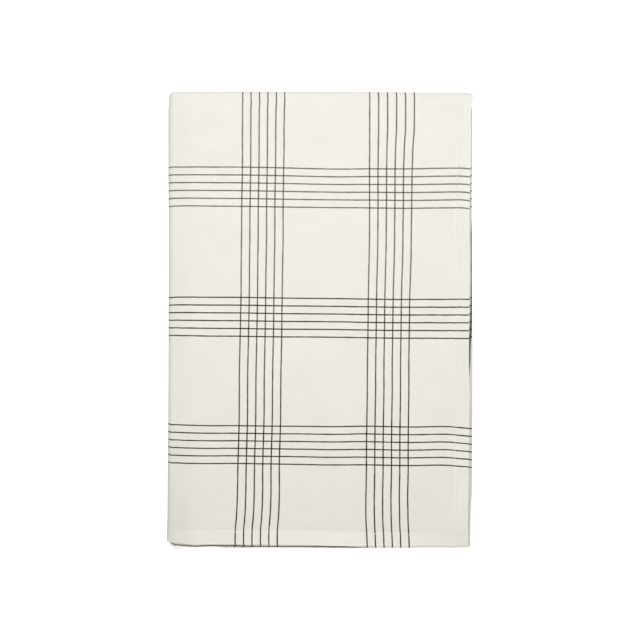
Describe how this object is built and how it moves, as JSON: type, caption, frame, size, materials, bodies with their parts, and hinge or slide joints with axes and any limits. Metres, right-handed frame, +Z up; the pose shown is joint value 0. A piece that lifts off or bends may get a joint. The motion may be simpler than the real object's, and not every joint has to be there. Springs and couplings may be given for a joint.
{
  "type": "tablecloth",
  "caption": "Off-white cotton tablecloth with thin dark check lines and turned hems, folded into a flat rectangle of sixteen layers.",
  "frame": {"origin": "middle of the underside's box, on the surface that the folded cloth lies on", "axes": "+Z up, +Y along the folded cloth towards its nested end folds, +X across it towards the side hems"},
  "size_m": [0.3882, 0.575, 0.0214],
  "materials": {
    "cotton_cloth": "plain woven cotton, matt, off-white with thin charcoal lines in groups of six both ways"
  },
  "bodies": {
    "root": {"tablecloth": "cotton_cloth"}
  },
  "joints": []
}
